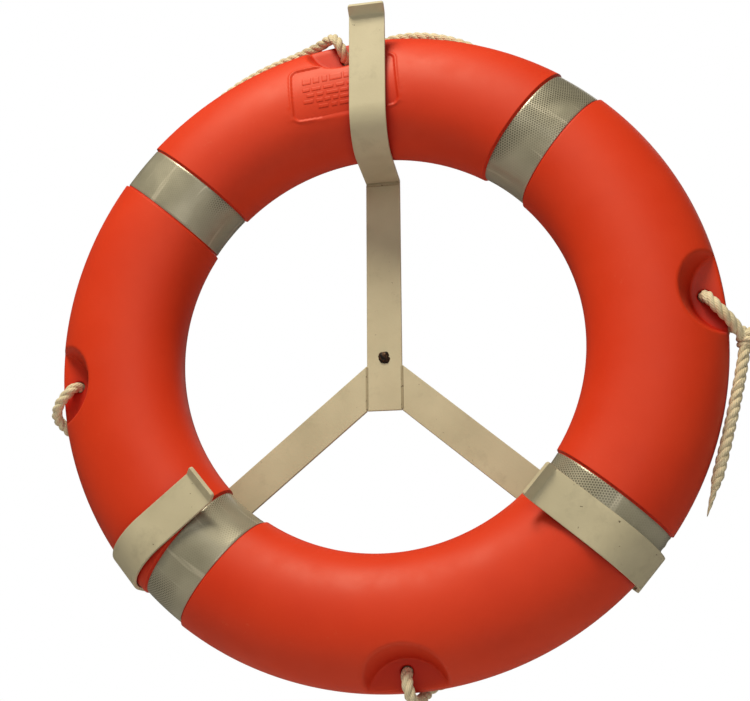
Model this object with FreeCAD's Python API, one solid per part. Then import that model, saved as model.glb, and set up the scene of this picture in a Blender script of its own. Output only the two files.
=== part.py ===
import FreeCAD, Part
import math
import os

# Ring lifebuoy on its three-armed wall bracket. Millimetres, +X right, +Y into the wall, +Z up.
# The origin is on the axis of the bracket's wall screw, in the plane of the wall.

V = FreeCAD.Vector
ORIGIN = V(0, 0, 0)
DEPTH_AXIS = V(0, 1, 0)

# --- the ring: an elliptical section turned about an axis along Y ---
RING_CENTRE = V(3.1, -63.3, -4.1)
OUTER_RADIUS = 360.0
INNER_RADIUS = 220.0
DEPTH_HALF = 52.2
SECTION_RADIUS = (OUTER_RADIUS + INNER_RADIUS) / 2
RADIAL_HALF = (OUTER_RADIUS - INNER_RADIUS) / 2
RING_TURN = 5.2  # degrees that the ring hangs turned, anticlockwise seen from the front
WALL = 3.5

# --- the four recessed bands of reflective tape, midway between the rope pockets ---
GROOVE_WIDTH = 54.0
GROOVE_DEPTH = 4.5
TAPE_WIDTH = 50.5
TAPE_THICKNESS = 0.8

# --- the four rope pockets: a drafted recess on each side of a web with one hole ---
WEB_HALF = 14.0
HOLE_RADIUS = 7.0
HOLE_AT = 339.0
POCKET_AT = 368.0
POCKET_RADIUS = 43.5
POCKET_DRAFT = 21.0

# --- the blank data panel in the front, at the top ---
PANEL_ANGLE = 95.2
PANEL_AT = 287.0
PANEL_LONG = 116.0
PANEL_HIGH = 60.0
PANEL_CORNER = 7.0
PANEL_DEPTH = 1.2

# --- the plug that closes the hole the foam was poured through, in the back ---
PLUG_ANGLE = 73.0
PLUG_HEAD_RADIUS = 10.0
PLUG_HEAD = 2.0
PLUG_STEM_RADIUS = 7.0

# --- the grab line: three-strand rope held by the four webs, its ends tied at the right-hand one ---
ROPE = 12.0
ARC_SHARE = 0.45  # of the shorter of two runs, taken up by the arc between them
KNOT_AT = (-2.2, 376.5, -5.0)
KNOT_LONG = 34.0
KNOT_WIDE = 30.0

# Routes in ring coordinates: degrees from the pocket where the loop starts, radius, depth.
# The rope comes out of a hole to the front, goes over the web's edge and on behind the ring.
OVER_WEB = [(0, 339, 0), (0, 339, -21), (0.8, 357, -27), (1.8, 368.5, -17), (3.2, 368.8, 3),
            (5.6, 367, 19), (9.2, 359.5, 30.5), (13.5, 354.5, 35.4)]
OVER_WEB_SLACK = [(0, 339, 0), (0, 339, -21), (0.8, 358, -27), (2.2, 371, -18), (4.6, 378, -5),
                  (8.8, 381, 4), (14.5, 381.5, 6), (21.5, 380, 7), (28.8, 377, 8), (36, 369.5, 16),
                  (43, 360, 28.5)]
BEHIND_RING = [(18.2, 353.5, 35.2), (26.5, 353.2, 35.2), (35.5, 353.5, 35.2), (45, 353.2, 35.2),
               (54, 353.5, 35.2), (62, 353.2, 35.2), (69.5, 353.5, 35.2), (75.7, 353.4, 35.2)]
BEHIND_RING_AFTER_SLACK = [(50, 354, 35.2), (57.2, 353.5, 35.2), (64, 353.2, 35.2), (70.2, 353.5, 35.2),
                           (75.9, 353.4, 35.2)]
INTO_WEB = [(81, 353.8, 35.6), (85.4, 351.5, 33.5), (88.6, 344.5, 27.5), (90, 339, 20), (90, 339, 0)]
FROM_KNOT = [(-7.2, 374, -8), (-4.6, 366.5, -20), (-2.0, 354, -27), (0, 339, -21)]
UP_BEHIND = [(0, 339, 20), (1.4, 344.5, 27.5), (4.6, 351.5, 33.5), (9, 353.8, 35.6), (14.8, 353.5, 35.2),
             (22.5, 353.2, 35.2), (31.5, 353.5, 35.2), (40.5, 353.5, 35.2), (48.8, 355, 33), (56, 360, 26.5)]
SLACK_INTO_WEB = [(62.2, 367.5, 16), (68, 372.5, 8), (74, 374.5, 5), (79.8, 374.5, 7), (84.6, 370, 15.5),
                  (88.6, 357, 26), (90, 339, 21), (90, 339, 0)]
UP_TO_KNOT = [(69.5, 353.5, 35.2), (75.5, 353.5, 35.2), (79.4, 355, 33.5), (81.4, 361, 27), (82.3, 369, 17),
              (82.6, 376, 4)]
TAIL = [(-2.4, 375, -8), (-6.9, 371, -9), (-12.3, 368, -8), (-18.2, 367.6, -7), (-24.4, 370.6, -6),
        (-30.2, 376.6, -5)]

# --- the bracket: 40 by 4 flat bar ---
BAR_WIDTH = 40.0
BAR = 4.0
BAR_CENTRE_X = 0.9
BAR_BOTTOM_Z = -61.0
HOOK_FRONT_Y = -118.5  # middle of the three hooks' front plates
HOOK_TOP_Z = 214.4  # upper face of the top hook's seat, just under the ring
TOP_BEND = 43.2
TOP_LIP_Z = 360.6
TOP_SKEW = 0.0329  # sideways per millimetre of depth, for bends that are not quite square
LEFT_SKEW = 0.0439
SKEW_SPARE = 12.0  # that a skewed bar is first made too wide by, on each side
ARM_ANGLE = 40.0  # below the horizontal
ARM_ROOT_Z = -35.2
ARM_GAP = 1.2  # between the ring's rim and the lower hooks
LOWER_BACK_BEND = 8.0
LOWER_FRONT_BEND = 60.0
LOWER_LIP_AT = 233.0  # from the ring's centre, along the arm
LIP_BEND = 4.0
LIP = 11.0
LIP_ANGLE_TOP = 60.0
LIP_ANGLE_LOWER = 50.0
WELD_FILLET = 3.0
WELD_BEAD = 1.8
WELD_SHORT_OF_EDGE = 2.0
WELD_GAP = 0.6  # between the upright bar's top and the level hook, filled by the weld

# --- the wall screw ---
SCREW_RADIUS = 3.0
SCREW_NECK_RADIUS = 2.4  # of the plain neck, inside the bar
SCREW_HOLE_RADIUS = 3.3
SCREW_HEAD_RADIUS = 5.5
SCREW_HEAD = 3.0
SCREW_LENGTH = 50.0  # behind the wall's face
RECESS_LONG = 6.0
RECESS_WIDE = 1.2
RECESS_DEEP = 1.8


def turned(shape, angle):
    """A copy of shape turned about the Y axis, so that what was along +X is at angle degrees."""
    copy = shape.copy()
    copy.rotate(ORIGIN, DEPTH_AXIS, -angle)
    return copy


def on_ring(shape):
    """A copy of shape moved from ring coordinates to the part's frame."""
    copy = shape.copy()
    copy.translate(RING_CENTRE)
    return copy


def box(low, high):
    """A box between two corners, each (x, y, z)."""
    return Part.makeBox(high[0] - low[0], high[1] - low[1], high[2] - low[2], V(*low))


# ---------------------------------------------------------------- the ring's body

def ring_solid(inset):
    """The whole ring with its surface drawn in by inset."""
    ellipse = Part.Ellipse(V(SECTION_RADIUS, 0, 0), RADIAL_HALF - inset, DEPTH_HALF - inset)
    face = Part.Face(Part.Wire(ellipse.toShape()))
    return face.revolve(ORIGIN, DEPTH_AXIS, 360)


def band_boxes(width):
    """A slab of this width across the ring's section at each of the four tapes."""
    reach = DEPTH_HALF + 10
    slab = box((INNER_RADIUS - 20, -reach, -width / 2), (OUTER_RADIUS + 20, reach, width / 2))
    return [turned(slab, RING_TURN + 45 + 90 * k) for k in range(4)]


def pocket_cutter(grow):
    """The air of one rope pocket at angle 0, front and back, with the hole, grown by grow."""
    length = DEPTH_HALF + 20 - WEB_HALF + grow
    narrow = POCKET_RADIUS + grow
    wide = narrow + length * math.tan(math.radians(POCKET_DRAFT))
    face = WEB_HALF - grow
    air = Part.makeCylinder(HOLE_RADIUS + grow, 2 * face + 2, V(HOLE_AT, -face - 1, 0), DEPTH_AXIS)
    for side in (-1, 1):
        cone = Part.makeCone(narrow, wide, length, V(POCKET_AT, side * face, 0), V(0, side, 0))
        air = air.fuse(cone)
    return air


def panel_cutter():
    """The prism that the blank data panel is sunk with, at angle 0."""
    low = (PANEL_AT - PANEL_HIGH / 2, -DEPTH_HALF - 10, -PANEL_LONG / 2)
    high = (PANEL_AT + PANEL_HIGH / 2, 0, PANEL_LONG / 2)
    prism = box(low, high)
    upright = [e for e in prism.Edges if abs(e.tangentAt(e.FirstParameter).y) > 0.9]
    return prism.makeFillet(PANEL_CORNER, upright)


def plug_hole(radius):
    """A short cylinder through the shell's back wall at angle 0."""
    return Part.makeCylinder(radius, WALL + 3, V(SECTION_RADIUS, DEPTH_HALF - WALL, 0), DEPTH_AXIS)


def sunk(outside, boxes, depth_solid):
    """outside with each box's share taken down to the surface of depth_solid."""
    for shape in boxes:
        outside = outside.cut(shape.cut(depth_solid))
    return outside


def buoy():
    """The moulded shell and the foam that fills it."""
    outside = sunk(ring_solid(0), band_boxes(GROOVE_WIDTH), ring_solid(GROOVE_DEPTH))
    inside = sunk(ring_solid(WALL), band_boxes(GROOVE_WIDTH + 2 * WALL), ring_solid(GROOVE_DEPTH + WALL))
    panel = turned(panel_cutter(), PANEL_ANGLE)
    outside = outside.cut(panel.cut(ring_solid(PANEL_DEPTH)))
    for k in range(4):
        outside = outside.cut(turned(pocket_cutter(0), RING_TURN + 90 * k))
        inside = inside.cut(turned(pocket_cutter(WALL), RING_TURN + 90 * k))
    shell = outside.cut(inside).cut(turned(plug_hole(PLUG_STEM_RADIUS), PLUG_ANGLE))
    return {"buoy_shell": shell, "foam_core": inside}


def filler_plug():
    """A flanged plug pressed into the back of the shell."""
    stem = plug_hole(PLUG_STEM_RADIUS).common(ring_solid(0)).cut(ring_solid(WALL))
    head = Part.makeCylinder(PLUG_HEAD_RADIUS, PLUG_HEAD, V(SECTION_RADIUS, DEPTH_HALF, 0), DEPTH_AXIS)
    skirt = Part.makeCylinder(PLUG_HEAD_RADIUS, 2.0, V(SECTION_RADIUS, DEPTH_HALF - 2.0, 0), DEPTH_AXIS)
    plug = stem.fuse(head).fuse(skirt.cut(ring_solid(0)))
    return {"foam_filler_plug": turned(plug.removeSplitter(), PLUG_ANGLE)}


def tapes():
    """The four wraps of reflective tape on the floors of the grooves."""
    skin = ring_solid(GROOVE_DEPTH - TAPE_THICKNESS).cut(ring_solid(GROOVE_DEPTH))
    return {f"reflective_tape_{k + 1}": slab.common(skin) for k, slab in enumerate(band_boxes(TAPE_WIDTH))}


# ---------------------------------------------------------------- the rope

def ring_point(angle, radius, depth):
    """A point in ring coordinates as a vector, still about the ring's centre."""
    a = math.radians(angle)
    return V(radius * math.cos(a), depth, radius * math.sin(a))


def tube(name, points):
    """A round tube along straight runs joined by tangent arcs as large as the runs allow."""
    edges = []
    start = points[0]
    radii = []
    for before, here, after in zip(points, points[1:], points[2:]):
        back = (before - here).normalize()
        on = (after - here).normalize()
        half_turn = (math.pi - back.getAngle(on)) / 2
        take = ARC_SHARE * min((before - here).Length, (after - here).Length)
        radius = take / math.tan(half_turn)
        radii.append(radius)
        a = here + back * take
        b = here + on * take
        middle_way = (back + on).normalize()
        middle = here + middle_way * (radius / math.cos(half_turn) - radius)
        edges.append(Part.LineSegment(start, a).toShape())
        edges.append(Part.Arc(a, middle, b).toShape())
        start = b
    edges.append(Part.LineSegment(start, points[-1]).toShape())
    path = Part.Wire(edges)
    direction = points[1] - points[0]
    circle = Part.Wire(Part.makeCircle(ROPE / 2, points[0], direction))
    solid = path.makePipeShell([circle], True, False)
    ideal = math.pi * (ROPE / 2) ** 2 * path.Length
    print(f"{name}: length {path.Length:.0f}, volume / ideal {solid.Volume / ideal:.4f},"
          f" radii {min(radii):.0f} to {max(radii):.0f}")
    return solid, path.Length


def grab_line():
    """The four loops, the tail and the knot."""
    middle = BEHIND_RING
    routes = {
        "grab_line_upper_right": (0, FROM_KNOT + UP_BEHIND + SLACK_INTO_WEB),
        "grab_line_upper_left": (90, OVER_WEB_SLACK + BEHIND_RING_AFTER_SLACK + INTO_WEB),
        "grab_line_lower_left": (180, OVER_WEB + middle + INTO_WEB),
        "grab_line_lower_right": (270, OVER_WEB + middle[:-2] + UP_TO_KNOT),
    }
    nodes = {}
    total = 0
    for name, (turn, route) in routes.items():
        points = [ring_point(angle + RING_TURN + turn, radius, depth) for angle, radius, depth in route]
        nodes[name], length = tube(name, points)
        total += length
    nodes["grab_line_tail"], length = tube("grab_line_tail", [ring_point(*p) for p in TAIL])
    print(f"rope outside the knot: {total + length:.0f}")
    nodes["grab_line_knot"] = knot()
    return nodes


def knot():
    """The bend that ties the rope's two ends, as the closed shape that it fills."""
    half = Part.Ellipse(ORIGIN, KNOT_LONG / 2, KNOT_WIDE / 2)
    arc = Part.Edge(half, 0, math.pi)
    flat = Part.LineSegment(V(-KNOT_LONG / 2, 0, 0), V(KNOT_LONG / 2, 0, 0)).toShape()
    solid = Part.Face(Part.Wire([arc, flat])).revolve(ORIGIN, V(1, 0, 0), 360)
    angle, radius, depth = KNOT_AT
    solid.rotate(ORIGIN, DEPTH_AXIS, 90)
    solid.translate(V(radius, depth, 0))
    return turned(solid, angle)


# ---------------------------------------------------------------- the bracket

def bent_bar(start, heading, steps, skew=0):
    """Flat bar on edge in the XY plane, as wide as the bar along Z and centred on it.

    A skew moves it along Z by that much for every millimetre of Y.

    start and heading are of the bar's middle line. A step is ("run", length) or ("bend", radius, degrees),
    where positive degrees turn left.
    """
    here = V(start[0], start[1], 0)
    way = V(heading[0], heading[1], 0)
    sides = {1: [], -1: []}
    for step in steps:
        left = V(-way.y, way.x, 0)
        if step[0] == "run":
            there = here + way * step[1]
            for side, edges in sides.items():
                shift = left * (side * BAR / 2)
                edges.append(Part.LineSegment(here + shift, there + shift))
        else:
            turn = math.radians(step[2])
            sign = 1 if turn > 0 else -1
            centre = here + left * (sign * step[1])

            def at(angle, side):
                spoke = FreeCAD.Rotation(V(0, 0, 1), math.degrees(angle)).multVec(left * -sign)
                return centre + spoke * (step[1] - sign * side * BAR / 2)

            for side, edges in sides.items():
                edges.append(Part.Arc(at(0, side), at(turn / 2, side), at(turn, side)))
            there = centre + FreeCAD.Rotation(V(0, 0, 1), math.degrees(turn)).multVec(left * -sign * step[1])
            way = FreeCAD.Rotation(V(0, 0, 1), math.degrees(turn)).multVec(way)
        here = there
    outline = [e.toShape() for e in sides[1] + sides[-1]]
    for end in (0, -1):
        a = sides[1][end].StartPoint if end == 0 else sides[1][end].EndPoint
        b = sides[-1][end].StartPoint if end == 0 else sides[-1][end].EndPoint
        outline.append(Part.LineSegment(a, b).toShape())
    face = Part.Face(Part.Wire(Part.__sortEdges__(outline)))
    wide = BAR_WIDTH + 2 * SKEW_SPARE
    solid = face.extrude(V(0, 0, wide))
    solid.translate(V(0, 0, -wide / 2))
    reach = 500
    corners = [V(-reach, y, skew * y + side * BAR_WIDTH / 2) for y, side in
               ((-reach, -1), (reach, -1), (reach, 1), (-reach, 1))]
    slab = Part.Face(Part.makePolygon(corners + corners[:1])).extrude(V(2 * reach, 0, 0))
    return solid.common(slab)


def top_hook():
    """From the wall forward under the ring, up its front and out in a short lip."""
    seat = HOOK_TOP_Z - BAR / 2
    upright = TOP_LIP_Z - seat - TOP_BEND
    steps = [("run", -HOOK_FRONT_Y - TOP_BEND), ("bend", TOP_BEND, 90), ("run", upright),
             ("bend", LIP_BEND, -LIP_ANGLE_TOP), ("run", LIP)]
    hook = turned(bent_bar((seat, 0), (0, -1), steps, TOP_SKEW), 90)
    hook.translate(V(BAR_CENTRE_X, 0, 0))
    return hook


def lower_arm(side):
    """One sloping arm: along the wall, forward round the ring's rim and back over its front to a lip."""
    angle = -ARM_ANGLE if side > 0 else 180 + ARM_ANGLE
    root = V(BAR_CENTRE_X + side * BAR_WIDTH / 2, 0, ARM_ROOT_Z)
    along = ring_point(angle, 1, 0)
    root_at = (root - RING_CENTRE).dot(along)
    wall = OUTER_RADIUS + ARM_GAP + BAR / 2 - root_at
    lip = wall - LOWER_FRONT_BEND - (LOWER_LIP_AT + LIP_BEND - root_at)
    overlap = 40
    steps = [("run", wall - LOWER_BACK_BEND + overlap), ("bend", LOWER_BACK_BEND, -90),
             ("run", -HOOK_FRONT_Y - BAR / 2 - LOWER_BACK_BEND - LOWER_FRONT_BEND),
             ("bend", LOWER_FRONT_BEND, -90), ("run", lip), ("bend", LIP_BEND, LIP_ANGLE_LOWER), ("run", LIP)]
    skew = LEFT_SKEW if side < 0 else 0
    arm = turned(bent_bar((-overlap, -BAR / 2), (1, 0), steps, skew), angle)
    arm.translate(root)
    beyond = 200
    inner = root.x - side * beyond
    return arm.cut(box((min(inner, root.x), -beyond, -beyond), (max(inner, root.x), beyond, beyond)))


def bracket():
    """The upright bar, the three hooks and the welds between them."""
    left = BAR_CENTRE_X - BAR_WIDTH / 2
    right = BAR_CENTRE_X + BAR_WIDTH / 2
    hook = top_hook()
    bar_top = HOOK_TOP_Z - BAR - WELD_GAP
    bar = box((left, -BAR, BAR_BOTTOM_Z), (right, 0, bar_top))
    bar = bar.cut(Part.makeCylinder(SCREW_HOLE_RADIUS, 2 * BAR, V(0, -BAR - 1, 0), DEPTH_AXIS))
    arms = {side: lower_arm(side) for side in (-1, 1)}

    weld_start = V(left + WELD_SHORT_OF_EDGE, -BAR, bar_top)
    weld_end_x = right - WELD_SHORT_OF_EDGE
    fillet = Part.makeCylinder(WELD_FILLET, weld_end_x - weld_start.x, weld_start, V(1, 0, 0))
    below = box((left, -2 * BAR, bar_top - WELD_FILLET), (right, -BAR, HOOK_TOP_Z - BAR / 2))
    root = box((weld_start.x, -BAR, bar_top), (weld_end_x, 0, HOOK_TOP_Z - BAR / 2))
    nodes = {
        "upright_bar": bar,
        "top_hook": hook,
        "left_arm": arms[-1],
        "right_arm": arms[1],
        "top_hook_weld": fillet.common(below).fuse(root).cut(hook).removeSplitter(),
    }
    tall = BAR_WIDTH / math.cos(math.radians(ARM_ANGLE)) - 2 * WELD_SHORT_OF_EDGE
    for side, name in ((-1, "left_arm_weld"), (1, "right_arm_weld")):
        foot = V(BAR_CENTRE_X + side * BAR_WIDTH / 2, -BAR + 1, ARM_ROOT_Z - tall / 2)
        bead = Part.makeCylinder(WELD_BEAD, tall, foot, V(0, 0, 1))
        nodes[name] = bead.cut(bar).cut(arms[side])
    return nodes


def wall_screw():
    """A pan-head screw with a cross recess: a neck inside the bar, its shank free behind the wall plane."""
    neck = Part.makeCylinder(SCREW_NECK_RADIUS, BAR, V(0, -BAR, 0), DEPTH_AXIS)
    shank = Part.makeCylinder(SCREW_RADIUS, SCREW_LENGTH, ORIGIN, DEPTH_AXIS)
    head = Part.makeCylinder(SCREW_HEAD_RADIUS, SCREW_HEAD, V(0, -BAR - SCREW_HEAD, 0), DEPTH_AXIS)
    rim = [e for e in head.Edges if abs(e.BoundBox.YMax + BAR + SCREW_HEAD) < 0.01]
    screw = shank.fuse(neck).fuse(head.makeFillet(SCREW_HEAD * 0.6, rim))
    front = -BAR - SCREW_HEAD
    for across, up in ((RECESS_LONG, RECESS_WIDE), (RECESS_WIDE, RECESS_LONG)):
        slot = box((-across / 2, front - 1, -up / 2), (across / 2, front + RECESS_DEEP, up / 2))
        screw = screw.cut(slot)
    return {"wall_screw": screw.removeSplitter()}


ring_parts = {**buoy(), **filler_plug(), **tapes(), **grab_line()}
nodes = {name: on_ring(shape) for name, shape in ring_parts.items()}
nodes.update(bracket())
nodes.update(wall_screw())

os.makedirs("parts", exist_ok=True)
for name, shape in nodes.items():
    print(f"{name}: {len(shape.Solids)} solid(s), valid {shape.isValid()}, {shape.Volume / 1000:.1f} cm3")
    shape.exportStep(f"parts/{name}.step")
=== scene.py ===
import bpy
import bmesh
import math
import random

import numpy as np
from mathutils import Matrix, Vector


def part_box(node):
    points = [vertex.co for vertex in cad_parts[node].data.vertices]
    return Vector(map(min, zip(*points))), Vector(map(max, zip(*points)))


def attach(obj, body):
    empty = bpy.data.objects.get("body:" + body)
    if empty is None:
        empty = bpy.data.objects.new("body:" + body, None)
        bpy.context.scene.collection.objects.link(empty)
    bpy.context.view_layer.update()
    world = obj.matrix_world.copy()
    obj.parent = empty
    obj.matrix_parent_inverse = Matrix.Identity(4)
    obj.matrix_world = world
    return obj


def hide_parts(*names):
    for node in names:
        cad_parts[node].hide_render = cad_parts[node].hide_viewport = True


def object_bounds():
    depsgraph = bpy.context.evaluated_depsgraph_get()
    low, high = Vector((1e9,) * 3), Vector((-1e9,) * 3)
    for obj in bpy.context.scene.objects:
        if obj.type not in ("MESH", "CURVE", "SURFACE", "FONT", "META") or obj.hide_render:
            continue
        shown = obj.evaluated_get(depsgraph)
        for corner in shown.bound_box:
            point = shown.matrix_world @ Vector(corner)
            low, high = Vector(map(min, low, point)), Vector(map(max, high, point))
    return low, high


# A ring lifebuoy hanging on its three-armed wall bracket. Metres, +X right, +Y into the wall, +Z up.
# The origin is the wall screw's axis in the plane of the wall. "Ring coordinates" are about the ring's
# centre: degrees anticlockwise from +X, radius, and depth along +Y.

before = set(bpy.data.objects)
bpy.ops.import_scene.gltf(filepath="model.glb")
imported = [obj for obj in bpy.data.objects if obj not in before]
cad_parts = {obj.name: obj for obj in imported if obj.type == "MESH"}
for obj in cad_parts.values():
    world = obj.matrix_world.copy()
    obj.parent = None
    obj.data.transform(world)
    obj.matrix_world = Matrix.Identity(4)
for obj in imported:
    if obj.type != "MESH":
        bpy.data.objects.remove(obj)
cad_low, cad_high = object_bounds()
MM = 0.001

# --- the ring ---
RING_CENTRE = np.array([3.1, -63.3, -4.1]) * MM
RING_TURN = 5.2
SECTION_RADIUS = 290 * MM
RADIAL_HALF = 70 * MM
DEPTH_HALF = 52.2 * MM
GROOVE_HALF = 27 * MM
GROOVE_DEPTH = 2.9 * MM
GROOVE_EDGE = 0.8 * MM
TAPE_HALF = 25.2 * MM
TAPE_THICKNESS = 0.7 * MM
TAPE_EDGE = 0.4 * MM
TAPE_RIPPLE = 0.18 * MM
WEB_HALF = 14 * MM
HOLE_AT = 339 * MM
HOLE_RADIUS = 6.3 * MM
HOLE_EDGE = 2.0 * MM
POCKET_AT = 368 * MM
POCKET_RADIUS = 42.5 * MM
RIM_ROUNDING = 2.6 * MM
FLOOR_ROUNDING = 2.2 * MM
POCKET_DRAFT = math.radians(21)
PANEL_AT = 287 * MM
PANEL_HALF_LONG = 58 * MM
PANEL_HALF_HIGH = 30 * MM
PANEL_CORNER = 7 * MM
PANEL_DEPTH = 1.3 * MM
PANEL_EDGE = 0.6 * MM
BEAD_HEIGHT = 0.7 * MM
BEAD_AT = 2.2 * MM
BEAD_HALF = 1.4 * MM
RIB_HALF = 2.0 * MM
RIB_HEIGHT = 0.5 * MM
RIB_ROWS = [(14, 46, 2.0), (3, 46, 1.0), (-4, 42, 1.0), (-11, 46, 1.0), (-18, 30, 1.0)]  # up, reach, size

# --- the bracket: 40 by 4 flat bar ---
BAR_WIDTH = 40 * MM
BAR = 4 * MM
BAR_CENTRE_X = 0.9 * MM
HOOK_FRONT_Y = -118.5 * MM
HOOK_TOP_Z = 214.4 * MM
TOP_BEND = 43.2 * MM
TOP_LIP_Z = 360.6 * MM
TOP_SKEW = 0.0329
LEFT_SKEW = 0.0439
ARM_ANGLE = 40
ARM_ROOT_Z = -35.2 * MM
ARM_WALL_AT = (360 + 1.2 + 2) * MM
LOWER_BACK_BEND = 8 * MM
LOWER_FRONT_BEND = 60 * MM
LOWER_LIP_AT = 233 * MM
LIP_BEND = 4 * MM
LIP = 11 * MM
LIP_CORNER = 2.5 * MM
LIP_ANGLE_TOP = 60
LIP_ANGLE_LOWER = 50

# --- the rope: three strands laid right-handed ---
LAY_LENGTH = 30 * MM
STRAND_RADIUS = 3.3 * MM
STRAND_AT = 2.75 * MM
ROPE_STEP = 1.4 * MM  # between the points that its strands are made from
KNOT_SHIFT = 3.5 * MM
FRAY = 15 * MM
FRAY_END = 0.56
WISP = 26 * MM  # of loose fibres at the tail's end
WISP_SCALE = 0.52
WISP_END = 0.12

# Rope routes in ring coordinates: degrees from the pocket where the loop starts, then radius and depth in mm.
OVER_WEB = [(0, 339, 0), (0, 339, -21), (1.6, 348, -27.5), (3.4, 361, -24), (4.8, 369.3, -13),
            (6.0, 368.3, 1), (7.4, 364.5, 17), (9.6, 357.5, 29.5), (13, 354.2, 35.4)]
OVER_WEB_STRAIGHT = [(0, 339, 0), (0, 339, -21), (0.3, 357, -27), (0.6, 369, -17), (0.9, 368.6, -1),
                     (1.3, 367, 12), (1.9, 362, 25), (3.0, 355.6, 33.8), (6.5, 353.9, 35.8),
                     (11.5, 353.7, 35.4)]
OVER_WEB_SLACK = [(0, 339, 0), (0, 339, -21), (0.8, 357, -27), (2.0, 368, -18), (4.4, 369.5, -5),
                  (8.8, 370, 5), (14.5, 371.5, 8), (21.5, 370.5, 9), (28.8, 367.5, 13), (36, 361.5, 22),
                  (43, 356.5, 31)]
BEHIND_RING = [(18.2, 353.5, 35.2), (26.5, 353.2, 35.2), (35.5, 353.5, 35.2), (45, 353.2, 35.2),
               (54, 353.5, 35.2), (62, 353.2, 35.2), (69.5, 353.5, 35.2), (75.7, 353.4, 35.2)]
BEHIND_RING_AFTER_SLACK = [(50, 354, 35.2), (57.2, 353.5, 35.2), (64, 353.2, 35.2), (70.2, 353.5, 35.2),
                           (75.9, 353.4, 35.2)]
INTO_WEB = [(81, 353.8, 35.6), (85.4, 351.5, 33.5), (88.6, 344.5, 27.5), (90, 339, 20), (90, 339, 0)]
FROM_KNOT = [(-7.4, 373, -10), (-5.6, 364.5, -19), (-3.6, 353, -26), (-1.2, 342, -26), (0, 339, -21)]
UP_BEHIND = [(0, 339, 20), (1.4, 344.5, 27.5), (4.6, 351.5, 33.5), (9, 353.8, 35.6), (14.8, 353.5, 35.2),
             (22.5, 353.2, 35.2), (31.5, 353.5, 35.2), (40.5, 353.5, 35.2), (48.8, 355, 33), (56, 360, 26.5)]
SLACK_INTO_WEB = [(62.2, 362, 24), (68, 368.5, 13), (74, 371.5, 7), (79.8, 372, 8), (84.6, 369, 15.5),
                  (88.6, 357, 26), (90, 339, 21), (90, 339, 0)]
UP_TO_KNOT = [(69.5, 353.5, 35.2), (76.5, 353.5, 35.2), (83.2, 354.3, 34.8), (86, 359.8, 29.5),
              (86, 367.5, 20), (84.2, 375.5, 7)]
TAIL = [(-2.4, 375, -8), (-6.9, 371, -9), (-12.3, 368, -8), (-18.2, 367.6, -7), (-24.4, 370.6, -6),
        (-30.2, 376.6, -5)]


# ---------------------------------------------------------------- camera, floor and light

def make_camera():
    """A camera at the place and angle that the object is seen from, low on the right and looking up."""
    yaw, pitch, roll = (math.radians(a) for a in (13.157, 13.640, -0.249))
    turn = Matrix.Rotation(yaw, 3, "Z") @ Matrix.Rotation(pitch, 3, "X") @ Matrix.Rotation(roll, 3, "Y")
    right, forward, up = (turn.col[k] for k in range(3))
    data = bpy.data.cameras.new("camera")
    data.sensor_width = 36
    data.lens = 54.49
    data.shift_x = 0.0673
    data.shift_y = 0.0312
    data.clip_end = 100
    camera = bpy.data.objects.new("camera", data)
    camera.matrix_world = Matrix.LocRotScale((0.2175, -1.2265, -0.3203),
                                             Matrix((right, up, -forward)).transposed(), None)
    bpy.context.scene.collection.objects.link(camera)
    bpy.context.scene.camera = camera


def add_light(name, place, target, size, energy, colour):
    """A square soft light at place that faces target."""
    data = bpy.data.lights.new(name, "AREA")
    data.size = size
    data.energy = energy
    data.color = colour
    light = bpy.data.objects.new(name, data)
    light.location = place
    light.rotation_euler = (Vector(target) - Vector(place)).to_track_quat("-Z", "Y").to_euler()
    bpy.context.scene.collection.objects.link(light)


def make_studio():
    """A pale floor, soft lights and a white surround."""
    bpy.context.scene.view_settings.view_transform = "Standard"
    world = bpy.data.worlds.new("studio")
    bpy.context.scene.world = world
    world.use_nodes = True
    tree = world.node_tree
    tree.nodes.clear()
    output = tree.nodes.new("ShaderNodeOutputWorld")
    mix = tree.nodes.new("ShaderNodeMixShader")
    path = tree.nodes.new("ShaderNodeLightPath")
    glow = tree.nodes.new("ShaderNodeBackground")
    glow.inputs["Color"].default_value = (1.0, 0.90, 0.76, 1)
    glow.inputs["Strength"].default_value = 0.12
    white = tree.nodes.new("ShaderNodeBackground")
    tree.links.new(path.outputs["Is Camera Ray"], mix.inputs["Fac"])
    white.inputs["Color"].default_value = (1, 1, 1, 1)
    tree.links.new(glow.outputs[0], mix.inputs[1])
    tree.links.new(white.outputs[0], mix.inputs[2])
    tree.links.new(mix.outputs[0], output.inputs["Surface"])

    target = (0, -0.06, 0)
    add_light("key", (-0.5, -1.7, 2.5), target, 1.0, 93, (1.0, 0.87, 0.64))
    add_light("front", (0.5, -2.8, 0.5), target, 1.6, 13, (1.0, 0.92, 0.78))
    add_light("back", (0.8, 1.8, 1.2), target, 1.5, 6, (1.0, 0.95, 0.88))

    below, half = 1.1, 12
    floor_z = cad_low.z - below
    floor = grid_object("floor", [[(x, y, floor_z) for x in (-half, half)] for y in (-half, half)])
    floor.data.materials.append(pale_paint())


# ---------------------------------------------------------------- mesh helpers

def mesh_object(name, points, faces, smooth=True):
    """A mesh object from points and faces, in the part's frame."""
    mesh = bpy.data.meshes.new(name)
    mesh.from_pydata([tuple(p) for p in points], [], [tuple(f) for f in faces])
    mesh.validate()
    if smooth:
        mesh.polygons.foreach_set("use_smooth", [True] * len(mesh.polygons))
    thing = bpy.data.objects.new(name, mesh)
    bpy.context.scene.collection.objects.link(thing)
    return thing


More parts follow.
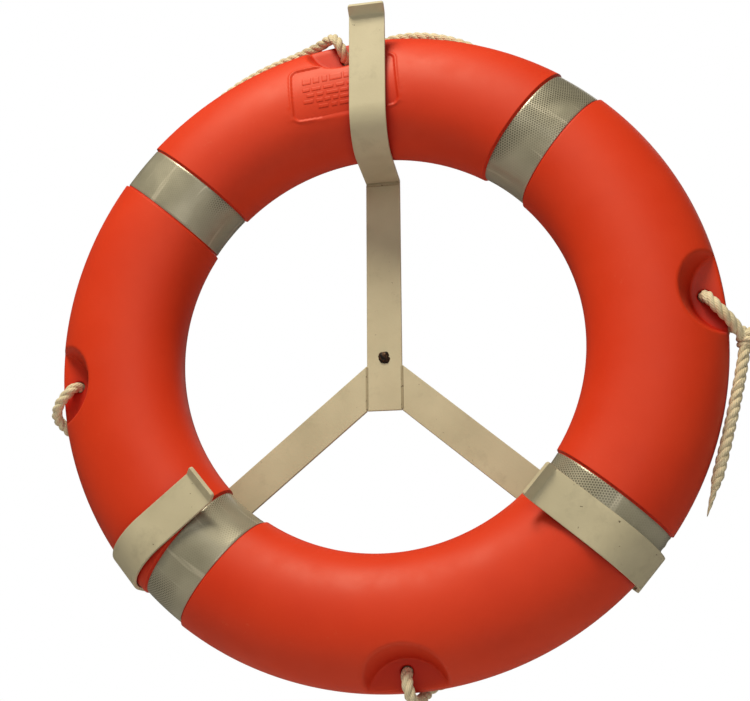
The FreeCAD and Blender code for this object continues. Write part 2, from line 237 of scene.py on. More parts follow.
def grid_faces(rows, columns, wrap_rows=False, wrap_columns=False):
    """Quads of a grid of points stored row by row."""
    faces = []
    for i in range(rows if wrap_rows else rows - 1):
        for j in range(columns if wrap_columns else columns - 1):
            k, m = (i + 1) % rows, (j + 1) % columns
            faces.append((i * columns + j, i * columns + m, k * columns + m, k * columns + j))
    return faces


def grid_object(name, grid, **wraps):
    """A mesh object from a grid of points, [row][column]."""
    rows, columns = len(grid), len(grid[0])
    return mesh_object(name, [p for row in grid for p in row], grid_faces(rows, columns, **wraps))


def add_uv(thing, values):
    """Writes a UV map, in metres, from one (u, v) for each vertex."""
    layer = thing.data.uv_layers.new(name="UVMap")
    index = np.empty(len(thing.data.loops), np.int64)
    thing.data.loops.foreach_get("vertex_index", index)
    layer.data.foreach_set("uv", np.asarray(values, np.float32)[index].ravel())


def recalculate(thing):
    """Turns every face outward."""
    work = bmesh.new()
    work.from_mesh(thing.data)
    bmesh.ops.recalc_face_normals(work, faces=work.faces)
    work.to_mesh(thing.data)
    work.free()


def apply_modifiers(thing):
    """Replaces the object's mesh with what its modifiers make of it."""
    depsgraph = bpy.context.evaluated_depsgraph_get()
    mesh = bpy.data.meshes.new_from_object(thing.evaluated_get(depsgraph))
    thing.modifiers.clear()
    thing.data = mesh


def ring_point(angle, radius, depth):
    """A point given by degrees, radius and depth about the ring's centre, in the part's frame."""
    a = math.radians(angle)
    return RING_CENTRE + np.array([radius * math.cos(a), depth, radius * math.sin(a)])


def part_of(piece, body, slot, *nodes):
    """The piece rides on a body and stands for CAD nodes, which it hides; slot is not used."""
    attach(piece, body)
    if nodes:
        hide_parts(*nodes)


# ---------------------------------------------------------------- materials

class Shade:
    """A principled material that is put together from nodes."""

    def __init__(self, name, **values):
        self.material = bpy.data.materials.new(name)
        self.material.use_nodes = True
        self.tree = self.material.node_tree
        self.bsdf = next(n for n in self.tree.nodes if n.type == "BSDF_PRINCIPLED")
        for socket, value in values.items():
            self.bsdf.inputs[socket.replace("_", " ")].default_value = value

    def node(self, kind, *links, **values):
        """Adds a node. links are (input, output socket); values set inputs or, failing that, properties."""
        made = self.tree.nodes.new("ShaderNode" + kind)
        for key, value in values.items():
            if hasattr(made, key):
                setattr(made, key, value)
            else:
                made.inputs[key.replace("_", " ")].default_value = value
        for socket, source in links:
            self.tree.links.new(source, made.inputs[socket])
        return made

    def place(self):
        """The point being shaded, in the part's frame."""
        return self.node("TexCoord").outputs["Object"]

    def noise(self, scale, detail=4.0, at=None, roughness=0.5):
        """Noise of this many cells a metre, from 0 to 1."""
        source = at or self.place()
        return self.node("TexNoise", ("Vector", source), Scale=scale, Detail=detail,
                         Roughness=roughness).outputs["Fac"]

    def ramp(self, source, *stops):
        """A colour ramp of (position, colour or grey)."""
        made = self.node("ValToRGB", ("Fac", source))
        elements = made.color_ramp.elements
        while len(elements) < len(stops):
            elements.new(0.5)
        for element, (position, colour) in zip(elements, stops):
            element.position = position
            grey = not hasattr(colour, "__len__")
            element.color = (colour,) * 3 + (1,) if grey else (*colour, 1)
        return made.outputs["Color"]

    def mix(self, factor, a, b, blend="MIX"):
        """Two colours mixed; factor, a and b are sockets or values."""
        made = self.node("Mix", data_type="RGBA", blend_type=blend)
        for socket, value in ((0, factor), (6, a), (7, b)):
            if isinstance(value, bpy.types.NodeSocket):
                self.tree.links.new(value, made.inputs[socket])
            else:
                made.inputs[socket].default_value = value if socket == 0 else (*value, 1)
        return made.outputs[2]

    def math(self, operation, *values):
        """A math node on sockets or numbers."""
        made = self.node("Math", operation=operation)
        for k, value in enumerate(values):
            if isinstance(value, bpy.types.NodeSocket):
                self.tree.links.new(value, made.inputs[k])
            else:
                made.inputs[k].default_value = value
        return made.outputs[0]

    def bump(self, height, distance, strength=1.0, under=None):
        """A bump of this many metres, over another one if given."""
        links = [("Height", height)] + ([("Normal", under)] if under else [])
        return self.node("Bump", *links, Distance=distance, Strength=strength).outputs["Normal"]

    def connect(self, **sockets):
        """Links sockets to the principled shader."""
        for name, source in sockets.items():
            self.tree.links.new(source, self.bsdf.inputs[name.replace("_", " ")])
        return self.material


def pale_paint():
    """The studio floor."""
    s = Shade("studio_floor", Roughness=0.8, Emission_Color=(1, 0.98, 0.95, 1), Emission_Strength=0.05)
    tint = s.ramp(s.noise(3), (0.3, (0.84, 0.83, 0.81)), (0.7, (0.88, 0.87, 0.85)))
    return s.connect(Base_Color=tint)


def orange_plastic():
    """Moulded polyethylene: satin, a little translucent, with faint flow marks and handling scuffs."""
    s = Shade("orange_plastic", Subsurface_Weight=0.04, Subsurface_Scale=0.003, Specular_IOR_Level=0.36)
    colour = s.ramp(s.noise(7, 3), (0.3, (0.66, 0.036, 0.0060)), (0.7, (0.73, 0.047, 0.0085)))
    scuffs = s.ramp(s.noise(160, 8, roughness=0.7), (0.60, 0.0), (0.74, 1.0))
    worn = s.math("MULTIPLY", scuffs, s.ramp(s.noise(11, 2), (0.5, 0.0), (0.75, 0.4)))
    colour = s.mix(worn, colour, (0.74, 0.17, 0.08))
    # deeper red where little light reaches
    open_air = s.node("AmbientOcclusion", samples=6, Distance=0.05).outputs["AO"]
    colour = s.mix(s.ramp(open_air, (0.35, 1.0), (0.92, 0.0)), colour, (0.47, 0.007, 0.0025))
    roughness = s.ramp(s.noise(30, 5), (0.3, 0.46), (0.7, 0.58))
    skin = s.bump(s.noise(900, 3), 0.0001, 0.35)
    waves = s.bump(s.noise(18, 2), 0.0012, 0.3, skin)
    return s.connect(Base_Color=colour, Roughness=roughness, Normal=waves)


def pale_foam():
    """Rigid poured foam: cream, with fine cells."""
    s = Shade("pale_foam", Roughness=0.9)
    cells = s.noise(600, 4)
    colour = s.ramp(cells, (0.3, (0.66, 0.55, 0.32)), (0.7, (0.85, 0.76, 0.52)))
    return s.connect(Base_Color=colour, Normal=s.bump(cells, 0.0004, 0.5))


def reflective_sheet():
    """Retroreflective tape: a honeycomb of fine dots under a clear glossy film, dulled in places, with
    painted highlight streaks along it.
    """
    s = Shade("reflective_sheet", Metallic=0.3, Coat_Weight=0.4, Coat_Roughness=0.15)
    uv = s.node("UVMap", uv_map="UVMap").outputs["UV"]
    pitch = 0.0028
    cell = (pitch, pitch * math.sqrt(3), 0.0)
    # a hexagonal lattice is two rectangular ones, half a cell apart both ways
    lattices = []
    for shift in (0.0, 0.5):
        scaled = s.node("VectorMath", (0, uv), operation="MULTIPLY")
        scaled.inputs[1].default_value = (1 / cell[0], 1 / cell[1], 0)
        moved = s.node("VectorMath", (0, scaled.outputs[0]), operation="ADD")
        moved.inputs[1].default_value = (shift, shift, 0)
        inside = s.node("VectorMath", (0, moved.outputs[0]), operation="FRACTION")
        centred = s.node("VectorMath", (0, inside.outputs[0]), operation="SUBTRACT")
        centred.inputs[1].default_value = (0.5, 0.5, 0)
        metres = s.node("VectorMath", (0, centred.outputs[0]), operation="MULTIPLY")
        metres.inputs[1].default_value = cell
        lattices.append(s.node("VectorMath", (0, metres.outputs[0]), operation="LENGTH").outputs["Value"])
    nearest = s.math("DIVIDE", s.math("MINIMUM", *lattices), pitch)
    dots = s.ramp(nearest, (0.27, 1.0), (0.40, 0.0))
    base = s.ramp(s.noise(22, 3), (0.3, (0.32, 0.32, 0.26)), (0.7, (0.42, 0.42, 0.35)))
    # painted highlights: lighter streaks along the tape stand in for glossy reflections on its film
    stretched = s.node("VectorMath", (0, uv), operation="MULTIPLY")
    stretched.inputs[1].default_value = (0.08, 1, 1)
    bands = s.noise(85, 3, stretched.outputs[0])
    base = s.mix(s.ramp(bands, (0.60, 0.0), (0.66, 0.55)), base, (0.62, 0.61, 0.53))
    strength = s.ramp(s.noise(14, 1), (0.42, 0.12), (0.56, 1.0))
    colour = s.mix(s.math("MULTIPLY", dots, strength), base, (0.11, 0.108, 0.085))
    roughness = s.ramp(s.noise(40, 4), (0.3, 0.28), (0.7, 0.45))
    return s.connect(Base_Color=colour, Roughness=roughness, Normal=s.bump(dots, 0.0001, 0.4))


def rope_fibre():
    """Cream staple fibre: fine yarns along each strand, with painted shade in the hollows between them."""
    s = Shade("rope_fibre", Roughness=0.85, Sheen_Weight=0.2, Sheen_Roughness=0.5)
    uv = s.node("UVMap", uv_map="UVMap").outputs["UV"]
    yarns = s.node("TexWave", ("Vector", uv), wave_type="BANDS", bands_direction="DIAGONAL", Scale=230.0,
                   Distortion=2.5, Detail=3.0).outputs["Fac"]
    fibres = s.noise(2200, 3)
    colour = s.ramp(s.noise(60, 5), (0.25, (0.68, 0.62, 0.44)), (0.75, (0.92, 0.88, 0.70)))
    # painted shade: the hollows between the yarns are mixed darker
    colour = s.mix(s.ramp(yarns, (0.2, 0.3), (0.6, 0.0)), colour, (0.45, 0.36, 0.21))
    relief = s.bump(fibres, 0.0004, 0.5, s.bump(yarns, 0.0005, 0.7))
    return s.connect(Base_Color=colour, Normal=relief)


def beige_paint(name, low, high, bare):
    """Uneven brushed-on enamel from a low to a high tone, with more chips the lower bare is."""
    s = Shade(name, Specular_IOR_Level=0.45)
    colour = s.ramp(s.noise(14, 4), (0.3, low), (0.7, high))
    stain = s.ramp(s.noise(38, 8, roughness=0.65), (0.56, 0.0), (0.72, 0.4))
    colour = s.mix(stain, colour, tuple(0.72 * c for c in low))
    chips = s.ramp(s.noise(210, 6, roughness=0.6), (bare, 0.0), (bare + 0.015, 1.0))
    colour = s.mix(chips, colour, (0.09, 0.065, 0.04))
    roughness = s.ramp(s.noise(50, 4), (0.3, 0.40), (0.7, 0.58))
    orange_peel = s.bump(s.noise(420, 2), 0.0002, 0.35)
    relief = s.bump(s.math("SUBTRACT", 1.0, chips), 0.0003, 0.6, orange_peel)
    return s.connect(Base_Color=colour, Roughness=roughness, Normal=relief)


def dark_steel():
    """An oxidised screw head with a little rust."""
    s = Shade("dark_steel", Metallic=0.8)
    rust = s.ramp(s.noise(300, 6), (0.45, (0.018, 0.017, 0.018)), (0.7, (0.10, 0.045, 0.02)))
    roughness = s.ramp(s.noise(500, 4), (0.3, 0.4), (0.7, 0.75))
    return s.connect(Base_Color=rust, Roughness=roughness, Normal=s.bump(s.noise(800, 4), 0.0002, 0.5))


# ---------------------------------------------------------------- the rope

def route_points(turn, route):
    """A route in ring coordinates as points in the part's frame."""
    return [ring_point(angle + RING_TURN + turn, radius * MM, depth * MM) for angle, radius, depth in route]


def smooth_line(points):
    """Points read off the NURBS spline that has the route's points as its control points."""
    curve = bpy.data.curves.new("route", "CURVE")
    curve.dimensions = "3D"
    curve.resolution_u = 12
    spline = curve.splines.new("NURBS")
    spline.points.add(len(points) - 1)
    for made, p in zip(spline.points, points):
        made.co = (*p, 1)
    spline.order_u = 3
    spline.use_endpoint_u = True
    thing = bpy.data.objects.new("route", curve)
    bpy.context.scene.collection.objects.link(thing)
    mesh = bpy.data.meshes.new_from_object(thing)
    line = np.array([v.co for v in mesh.vertices])
    bpy.data.objects.remove(thing)
    return line


def evenly(line, step):
    """The line again, with its points a step apart, and its length."""
    gaps = np.linalg.norm(np.diff(line, axis=0), axis=1)
    at = np.concatenate([[0], np.cumsum(gaps)])
    places = np.linspace(0, at[-1], max(8, int(at[-1] / step)))
    return np.stack([np.interp(places, at, line[:, k]) for k in range(3)], axis=1), at[-1]


def carried_frames(line):
    """Two unit vectors across the line at each point, carried along without twist, and the one along it."""
    along = np.gradient(line, axis=0)
    along /= np.linalg.norm(along, axis=1)[:, None]
    side = np.cross(along[0], [0.3, 0.5, 0.8])
    side /= np.linalg.norm(side)
    sides = []
    for way in along:
        side = side - way * (side @ way)
        side = side / np.linalg.norm(side)
        sides.append(side)
    sides = np.array(sides)
    return sides, np.cross(along, sides), along


def rope_mesh(name, line, fray=0.0, scale=1.0, end=1.0):
    """Three laid strands along a line, thinned by scale; the last part, of length fray, narrows to end."""
    line, length = evenly(line, ROPE_STEP)
    one, two, along = carried_frames(line)
    at = np.linspace(0, length, len(line))
    around = 12
    lumpiness, lumps_a_metre = 0.03, 420
    points, uv, faces = [], [], []
    for strand in range(3):
        phase = 2 * math.pi * (at / LAY_LENGTH + strand / 3)
        out = one * np.cos(phase)[:, None] + two * np.sin(phase)[:, None]
        open_end = np.clip((at - (length - fray)) / fray, 0, 1) if fray else np.zeros(len(at))
        narrowed = scale * (1 - (1 - end) * open_end ** 1.5)
        centre = line + out * (STRAND_AT * narrowed)[:, None]
        radius = STRAND_RADIUS * narrowed * (1 + lumpiness * np.sin(at * lumps_a_metre + strand))
        cross, normal, _ = carried_frames(centre)
        start = len(points)
        for k in range(around):
            a = 2 * math.pi * k / around
            points.extend(centre + (cross * math.cos(a) + normal * math.sin(a)) * radius[:, None])
            uv.extend(np.stack([np.full(len(at), a * STRAND_RADIUS), at], axis=1))
        n = len(at)
        for k in range(around):
            m = (k + 1) % around
            faces.extend((start + k * n + i, start + k * n + i + 1, start + m * n + i + 1, start + m * n + i)
                         for i in range(n - 1))
        faces.append([start + k * n for k in range(around)])
        faces.append([start + k * n + n - 1 for k in reversed(range(around))])
    rope = mesh_object(name, points, faces)
    add_uv(rope, uv)
    recalculate(rope)
    return rope, line, length


def make_rope(material):
    """The four loops of the grab line, its knot and its tail."""
    loops = {
        "upper_right": (0, FROM_KNOT + UP_BEHIND + SLACK_INTO_WEB),
        "upper_left": (90, OVER_WEB_SLACK + BEHIND_RING_AFTER_SLACK + INTO_WEB),
        "lower_left": (180, OVER_WEB + BEHIND_RING + INTO_WEB),
        "lower_right": (270, OVER_WEB_STRAIGHT + BEHIND_RING[:-2] + UP_TO_KNOT),
    }
    made = {}
    for name, (turn, route) in loops.items():
        made[name] = rope_mesh("rope_" + name, smooth_line(route_points(turn, route)))
    tail, length = evenly(smooth_line(route_points(-RING_TURN, TAIL)), ROPE_STEP)
    cut = int(len(tail) * (1 - WISP / length))
    made["tail"] = rope_mesh("rope_tail", tail[:cut], FRAY, 1.0, FRAY_END)
    wisp, _, _ = rope_mesh("rope_tail_wisp", tail[cut - 4:], WISP, WISP_SCALE, WISP_END)
    wisp.data.materials.append(material)
    part_of(wisp, "ring", "rope")
    knot = make_knot(material)
    for name, (rope, line, length) in made.items():
        rope.data.materials.append(material)
        part_of(rope, "ring", "rope", "grab_line_" + name)


def make_knot(material):
    """The bend that ties the rope's two ends: nearly two turns of rope drawn tight round itself."""
    low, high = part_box("grab_line_knot")
    centre = (low + high) / 2
    turns, step, wide, tall, tilt = 1.9, 24, 8.4 * MM, 6.0 * MM, 2.2 * MM
    line = []
    for k in range(int(turns * step) + 1):
        a = 2 * math.pi * k / step
        rise = (k / (turns * step) - 0.5) * 2
        line.append([centre.x + KNOT_SHIFT + wide * math.cos(a), centre.y + wide * math.sin(a),
                     centre.z + tall * rise + tilt * math.cos(a)])
    knot, _, _ = rope_mesh("rope_knot", np.array(line))
    knot.data.materials.append(material)
    part_of(knot, "ring", "rope", "grab_line_knot")
    return knot


# ---------------------------------------------------------------- the ring's shell

def smooth_max(a, b, k):
    """The larger of two fields, rounded over a width k."""
    h = np.maximum(k - np.abs(a - b), 0) / k
    return np.maximum(a, b) + h * h * k / 4


def step_up(value, width):
    """0 to 1 as value passes from -width to width."""
    t = np.clip((value + width) / (2 * width), 0, 1)
    return t * t * (3 - 2 * t)


def around_angle(offset, radius):
    """Degrees about the ring's axis of a line that has this offset in degrees, at radius.

    Near a tape the line runs parallel to the tape; further off it is radial.
    """
    parallel_within, blend = 15, 6
    parallel = np.degrees(np.arcsin(np.clip(SECTION_RADIUS * np.sin(np.radians(offset)) / radius, -1, 1)))
    share = 1 - step_up(np.abs(offset) - parallel_within, blend)
    return offset * (1 - share) + parallel * share


def spread(low, high, spacing):
    """Values from low up to high, which is left out, as far apart as spacing says at each."""
    dense = np.linspace(low, high, 4001)
    count = np.concatenate([[0], np.cumsum(np.diff(dense) / spacing((dense[1:] + dense[:-1]) / 2))])
    total = int(round(count[-1]))
    return np.interp(np.linspace(0, count[-1], total, endpoint=False), count, dense)


def shell_field(x, y, z):
    """The ring's field and a pocket cone's, both above 0 outside, at a point turned back by RING_TURN."""
    radius = np.hypot(x, z)
    across = radius - SECTION_RADIUS
    angle = np.degrees(np.arctan2(z, x))
    from_tape = radius * np.sin(np.radians((angle % 90) - 45))
    sunk = GROOVE_DEPTH * (1 - step_up(np.abs(from_tape) - GROOVE_HALF, GROOVE_EDGE))
    corner = np.hypot(np.maximum(np.abs(x) - PANEL_HALF_LONG + PANEL_CORNER, 0),
                      np.maximum(np.abs(z - PANEL_AT) - PANEL_HALF_HIGH + PANEL_CORNER, 0)) - PANEL_CORNER
    bead = np.clip(1 - ((corner - BEAD_AT) / BEAD_HALF) ** 2, 0, 1)
    panel = PANEL_DEPTH * (1 - step_up(corner, PANEL_EDGE)) - BEAD_HEIGHT * bead
    sunk = sunk + panel * (y < 0) * (z > 0)
    size = np.hypot(across / RADIAL_HALF, y / DEPTH_HALF)
    slope = np.hypot(across / RADIAL_HALF ** 2, y / DEPTH_HALF ** 2) / np.maximum(size, 1e-6)
    body = (size - 1) / slope + sunk
    pocket = np.radians(((angle + 45) % 90) - 45)
    beside, outward = radius * np.sin(pocket), radius * np.cos(pocket)
    wall = POCKET_RADIUS + (np.abs(y) - WEB_HALF) * math.tan(POCKET_DRAFT)
    cone = (np.hypot(beside, outward - POCKET_AT) - wall) * math.cos(POCKET_DRAFT)
    return body, cone


def shell_value(x, y, z):
    """The shell's field with its rims and floors rounded."""
    body, cone = shell_field(x, y, z)
    air = smooth_max(cone, WEB_HALF - np.abs(y), FLOOR_ROUNDING)
    return smooth_max(body, -air, RIM_ROUNDING)


def make_shell(material):
    """The ring's moulded shell as one skin, with rounded pockets and grooves, and its four holes cut.

    Rows of points go round the ring and columns round its section. Each point lies where a ray from the
    middle of the section leaves the solid. The rows are finest at the grooves' edges and fine at the
    pockets, and the columns are fine on the rim and over the panel.
    """
    edge = math.degrees(GROOVE_HALF / SECTION_RADIUS)
    finest, fine, coarse = 0.07, 0.21, 1.1
    pocket_reach = 12.8
    fine_section, coarse_section = 0.9, 3.0

    def spacing_round(offset):
        from_edge = np.abs(np.abs(offset) - edge)
        from_pocket = 45 - np.abs(offset)
        return np.where(from_edge < 0.5, finest, np.where(from_pocket < pocket_reach, fine, coarse))

    def spacing_section(phi):
        over_panel = (phi > -125) & (phi < -60)
        on_rim = np.abs(phi) < 75
        return np.where(on_rim | over_panel, fine_section, coarse_section)

    offsets = spread(-45, 45, spacing_round)
    phis = np.radians(spread(-180, 180, spacing_section))
    offset = np.concatenate([offsets] * 4)[:, None]
    tape = np.repeat([45, 135, 225, 315], len(offsets))[:, None]
    cos, sin = np.cos(phis)[None, :], np.sin(phis)[None, :]
    low = np.full((offset.shape[0], len(phis)), 0.2 * DEPTH_HALF)
    high = np.full_like(low, 1.3 * RADIAL_HALF)
    halvings = 28
    for _ in range(halvings):
        reach = (low + high) / 2
        radius = SECTION_RADIUS + reach * cos
        angle = np.radians(tape + around_angle(offset, radius))
        outside = shell_value(radius * np.cos(angle), reach * sin, radius * np.sin(angle)) > 0
        high = np.where(outside, reach, high)
        low = np.where(outside, low, reach)
    angle = angle + math.radians(RING_TURN)
    points = np.stack([radius * np.cos(angle), reach * sin, radius * np.sin(angle)], axis=2) + RING_CENTRE
    rows, columns = points.shape[:2]
    shell = mesh_object("ring_shell", points.reshape(-1, 3), grid_faces(rows, columns, True, True))
    recalculate(shell)
    cut_holes(shell)
    shell.data.materials.clear()
    shell.data.materials.append(material)
    part_of(shell, "ring", "orange_shell", "buoy_shell")


def cut_holes(shell):
    """Cuts the rope holes through the webs, with their edges rounded."""
    wider, beyond, steps, around = 1 * MM, 2 * MM, 6, 40
    profile = [(HOLE_RADIUS + HOLE_EDGE + wider, WEB_HALF + beyond)]
    for k in range(steps + 1):
        a = math.radians(90 * k / steps)
        radius = HOLE_RADIUS + HOLE_EDGE * (1 - math.sin(a))
        profile.append((radius, WEB_HALF - HOLE_EDGE * (1 - math.cos(a))))
    profile = profile + [(r, -y) for r, y in reversed(profile)]
    points, faces = [], []
    for pocket in range(4):
        centre = ring_point(RING_TURN + 90 * pocket, HOLE_AT, 0)
        start = len(points)
        for r, y in profile:
            points.extend(centre + np.array([r * math.cos(a), y, r * math.sin(a)])
                          for a in np.linspace(0, 2 * math.pi, around, endpoint=False))
        faces.extend([start + i for i in f] for f in grid_faces(len(profile), around, False, True))
        faces.append([start + k for k in range(around)])
        faces.append([start + (len(profile) - 1) * around + k for k in reversed(range(around))])
    cutter = mesh_object("hole_cutter", points, faces)
    recalculate(cutter)
    cut = shell.modifiers.new("holes", "BOOLEAN")
    cut.object = cutter
    cut.operation = "DIFFERENCE"
    cut.solver = "EXACT"
    apply_modifiers(shell)
    bpy.data.objects.remove(cutter)


def make_panel_ribs(material):
    """Rows of short plain ribs raised from the data panel's floor."""
    rng = random.Random(9)
    sink, end, shortest = 0.5 * MM, 0.8 * MM, 4 * MM
    points, faces = [], []

    def floor_point(x, z, lift):
        across = math.hypot(x, z) - SECTION_RADIUS
        depth = -DEPTH_HALF * math.sqrt(1 - (across / RADIAL_HALF) ** 2) + PANEL_DEPTH - lift
        return ring_point(RING_TURN + math.degrees(math.atan2(z, x)), math.hypot(x, z), depth)

    for row, reach, size in RIB_ROWS:
        left, half = -reach * MM, RIB_HALF * size
        while left < reach * MM - shortest:
            right = min(left + rng.uniform(6, 15) * MM, reach * MM)
            z = PANEL_AT + row * MM
            profile = [(-half, -sink), (-half, RIB_HEIGHT * 0.6), (-half * 0.6, RIB_HEIGHT),
                       (half * 0.6, RIB_HEIGHT), (half, RIB_HEIGHT * 0.6), (half, -sink)]
            ends = [(left, 0.5), (left + end, 1.0), (right - end, 1.0), (right, 0.5)]
            start = len(points)
            for x, scale in ends:
                for up, lift in profile:
                    points.append(floor_point(x, z + up, lift * scale if lift > 0 else lift))
            faces.extend([start + i for i in f] for f in grid_faces(len(ends), len(profile), False, True))
            faces.append([start + k for k in range(len(profile))])
            faces.append([len(points) - 1 - k for k in range(len(profile))])
            left = right + rng.uniform(1.8, 3.2) * MM
    ribs = mesh_object("ring_panel_ribs", points, faces, smooth=False)
    recalculate(ribs)
    ribs.data.materials.append(material)
    part_of(ribs, "ring", "orange_shell")


# ---------------------------------------------------------------- the tapes

def make_tapes(material):
    """Four wraps of tape on the groove floors, a little wrinkled."""
    flat = TAPE_HALF - TAPE_EDGE
    across = np.concatenate([[-TAPE_HALF, -TAPE_HALF], np.linspace(-flat, flat, 24), [TAPE_HALF, TAPE_HALF]])
    lift = np.full(len(across), TAPE_THICKNESS)
    lift[[0, -1]] = -TAPE_EDGE
    lift[[1, -2]] = TAPE_THICKNESS * 0.6
    rows, waves_each = 260, 5
    phis = np.linspace(0, 2 * math.pi, rows, endpoint=False)
    rng = random.Random(4)
    for k in range(4):
        waves = [(rng.randint(5, 17), rng.uniform(0, 6.3)) for _ in range(waves_each)]
        grid, uv = [], []
        along = 0.0
        before = None
        for phi in phis:
            wrinkle = sum(math.sin(n * phi + p) for n, p in waves) / waves_each
            row = []
            for w, up in zip(across, lift):
                ripple = TAPE_RIPPLE * wrinkle * math.cos(w * 40 + waves[0][1]) if up > 0 else 0
                inset = GROOVE_DEPTH - up - ripple
                radius = SECTION_RADIUS + (RADIAL_HALF - inset) * math.cos(phi)
                depth = (DEPTH_HALF - inset) * math.sin(phi)
                angle = RING_TURN + 45 + 90 * k + math.degrees(math.asin(w / radius))
                row.append(ring_point(angle, radius, depth))
            middle = row[len(row) // 2]
            along += 0 if before is None else float(np.linalg.norm(middle - before))
            before = middle
            grid.append(row)
            uv.extend((w, along) for w in across)
        tape = grid_object(f"tape_{k + 1}", grid, wrap_rows=True)
        add_uv(tape, uv)
        recalculate(tape)
        tape.data.materials.append(material)
        part_of(tape, "ring", "reflective_tape", f"reflective_tape_{k + 1}")


# ---------------------------------------------------------------- the bracket

def bar_line(start, heading, steps):
    """The middle line of a bent bar in a plane: points, and the left-hand unit vector at each."""
    here, way = np.array(start, float), np.array(heading, float)
    points, lefts = [], []

    def put(point, direction):
        points.append(np.array(point))
        lefts.append(np.array([-direction[1], direction[0]]))

    put(here, way)
    for step in steps:
        if step[0] == "run":
            here = here + way * step[1]
            put(here, way)
            continue
        turn, sign = math.radians(step[2]), math.copysign(1, step[2])
        left = np.array([-way[1], way[0]])
        centre = here + left * sign * step[1]
        count = max(4, int(abs(step[2]) / 4))
        base = way
        for k in range(1, count + 1):
            a = turn * k / count
            spin = np.array([[math.cos(a), -math.sin(a)], [math.sin(a), math.cos(a)]])
            here, way = centre - spin @ left * sign * step[1], spin @ base
            put(here, way)
    return points, lefts


def bar_section():
    """The flat bar's outline, (through, across), with slightly rounded edges."""
    corner = 0.8 * MM
    outline = []
    for a, b, start in ((1, 1, 0), (-1, 1, 90), (-1, -1, 180), (1, -1, 270)):
        for k in range(4):
            angle = math.radians(start + 30 * k)
            outline.append((a * (BAR / 2 - corner) + corner * math.cos(angle),
                            b * (BAR_WIDTH / 2 - corner) + corner * math.sin(angle)))
    return outline


def swept_bar(name, points, lefts, to_frame, end_corner=0.0):
    """A flat bar swept along its middle line; to_frame takes (s, y, across) to the part's frame.

    end_corner rounds the corners of its far end.
    """
    outline = bar_section()
    end, thinned, narrowed, steps = 0.6 * MM, 0.75, 0.5 * MM, 6
    first, last = points[1] - points[0], points[-1] - points[-2]
    first, last = first / np.linalg.norm(first), last / np.linalg.norm(last)
    stations = [(points[0], lefts[0], thinned, narrowed), (points[0] + first * end, lefts[0], 1.0, 0)]
    stations += [(here, left, 1.0, 0) for here, left in zip(points[1:-1], lefts[1:-1])]
    corner = max(end_corner, end)
    for k in range(steps + 1):
        a = math.radians(90 / steps * k)
        narrow = corner * (1 - math.cos(a)) if end_corner else 0
        back = corner * (1 - math.sin(a))
        stations.append((points[-1] - last * back, lefts[-1], thinned if k == steps else 1.0, narrow))
    made = []
    for point, left, scale, inset in stations:
        for through, across in outline:
            through = through * scale
            across = math.copysign(abs(across) - inset, across)
            s, y = point + left * through
            made.append(to_frame(s, y, across))
    n = len(outline)
    faces = grid_faces(len(stations), n, False, True)
    faces.append(list(range(n)))
    faces.append([(len(stations) - 1) * n + k for k in reversed(range(n))])
    bar = mesh_object(name, made, faces)
    recalculate(bar)
    weighted = bar.modifiers.new("flat_looking_flats", "WEIGHTED_NORMAL")
    weighted.keep_sharp = True
    return bar


def make_bracket(paint, weld_paint, steel):
    """The upright bar, the three hooks, their welds and the wall screw."""
    low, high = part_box("upright_bar")
    line = [np.array([low.z, -BAR / 2]), np.array([high.z, -BAR / 2])]
    bar = swept_bar("bracket_upright", line, [np.array([0, 1.0])] * 2,
                    lambda s, y, across: (BAR_CENTRE_X + across, y, s))
    part_of(bar, "bracket", "bracket_paint", "upright_bar")

    seat = HOOK_TOP_Z - BAR / 2
    steps = [("run", -HOOK_FRONT_Y - TOP_BEND), ("bend", TOP_BEND, 90), ("run", TOP_LIP_Z - seat - TOP_BEND),
             ("bend", LIP_BEND, -LIP_ANGLE_TOP), ("run", LIP)]
    hook = swept_bar("bracket_top_hook", *bar_line((seat, 0), (0, -1), steps),
                     lambda s, y, across: (BAR_CENTRE_X + across - TOP_SKEW * y, y, s), LIP_CORNER)
    part_of(hook, "bracket", "bracket_paint", "top_hook")

    for piece in (bar, hook, lower_arm(-1, "left"), lower_arm(1, "right")):
        piece.data.materials.append(paint)
    for name in ("top_hook_weld", "left_arm_weld", "right_arm_weld"):
        finish_node(name, weld_paint)
    finish_node("wall_screw", steel)
    # dark lumps round the screw's head that paint its shadow on the bar
    make_screw_painted_shadow(steel)


def finish_node(name, material):
    """Gives a carried-over CAD node its material."""
    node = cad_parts[name]
    node.data.materials.clear()
    node.data.materials.append(material)


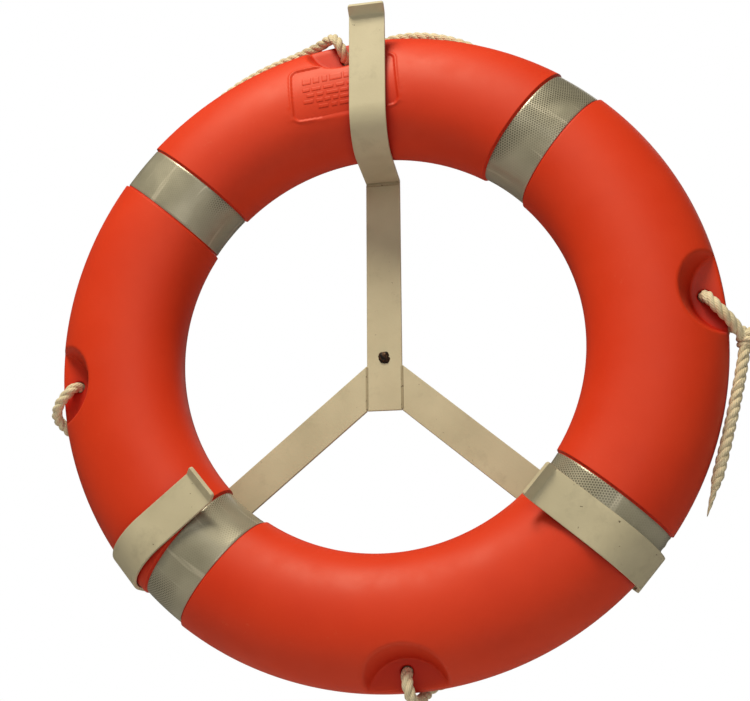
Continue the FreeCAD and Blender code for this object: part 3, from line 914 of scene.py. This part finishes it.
def make_screw_painted_shadow(steel):
    """Dark lumps round the screw's head, reaching furthest to the lower right: a painted shadow of the head
    on the bar.
    """
    rng = random.Random(5)
    lumps = [(0.4, 0.6, 6.2), (3.4, -3.0, 3.9), (-2.6, 1.8, 3.4), (1.0, -4.2, 3.2), (-1.6, -2.0, 4.0),
             (3.0, 2.6, 3.2)]  # x, z and size in mm
    around, rings, foot, flatness = 20, 7, -3.9, 0.62
    points, faces = [], []
    for x, z, size in lumps:
        start = len(points)
        waves = [(rng.uniform(0, 6.3), rng.uniform(0.04, 0.10)) for _ in range(3)]
        for j in range(rings):
            tilt = math.pi / 2 * j / rings
            for i in range(around):
                a = 2 * math.pi * i / around
                uneven = 1 + sum(w * math.sin((n + 2) * a + p) for n, (p, w) in enumerate(waves))
                r = size * math.cos(tilt) * uneven
                y = foot - flatness * size * math.sin(tilt)
                points.append(np.array([x + r * math.cos(a), y, z + r * math.sin(a)]) * MM)
        top = len(points)
        points.append(np.array([x, foot - flatness * size, z]) * MM)
        faces.extend([start + i for i in f] for f in grid_faces(rings, around, False, True))
        last = start + (rings - 1) * around
        faces.extend((last + i, last + (i + 1) % around, top) for i in range(around))
        faces.append([start + k for k in reversed(range(around))])
    painted_shadow = mesh_object("bracket_screw_painted_shadow", points, faces)
    recalculate(painted_shadow)
    painted_shadow.data.materials.append(steel)
    part_of(painted_shadow, "bracket", "screw")


def lower_arm(side, name):
    """A sloping arm with its hook round the ring's rim."""
    angle = math.radians(-ARM_ANGLE if side > 0 else 180 + ARM_ANGLE)
    along = np.array([math.cos(angle), 0, math.sin(angle)])
    beside = np.array([-math.sin(angle), 0, math.cos(angle)])
    root = np.array([BAR_CENTRE_X + side * BAR_WIDTH / 2, 0, ARM_ROOT_Z])
    root_at = float((root - RING_CENTRE) @ along)
    wall = ARM_WALL_AT - root_at
    lip = wall - LOWER_FRONT_BEND - (LOWER_LIP_AT + LIP_BEND - root_at)
    skew = LEFT_SKEW if side < 0 else 0
    steps = [("run", wall - LOWER_BACK_BEND), ("bend", LOWER_BACK_BEND, -90),
             ("run", -HOOK_FRONT_Y - BAR / 2 - LOWER_BACK_BEND - LOWER_FRONT_BEND),
             ("bend", LOWER_FRONT_BEND, -90), ("run", lip), ("bend", LIP_BEND, LIP_ANGLE_LOWER), ("run", LIP)]
    points, lefts = bar_line((0, -BAR / 2), (1, 0), steps)

    def place(s, y, across):
        point = root + along * s + beside * (across + skew * y) + np.array([0, y, 0])
        if s < 2 * MM and y > -2 * BAR:
            point = point + along * ((root[0] - point[0]) / along[0] + s)
        return point

    arm = swept_bar(f"bracket_{name}_arm", points, lefts, place, LIP_CORNER)
    part_of(arm, "bracket", "bracket_paint", f"{name}_arm")
    return arm


make_camera()
make_rope(rope_fibre())
orange = orange_plastic()
make_shell(orange)
make_panel_ribs(orange)
finish_node("foam_filler_plug", orange)
finish_node("foam_core", pale_foam())
make_tapes(reflective_sheet())
enamel = beige_paint("beige_paint", (0.50, 0.475, 0.355), (0.60, 0.575, 0.44), 0.705)
old_enamel = beige_paint("old_beige_paint", (0.28, 0.25, 0.17), (0.42, 0.39, 0.28), 0.62)
make_bracket(enamel, old_enamel, dark_steel())
make_studio()
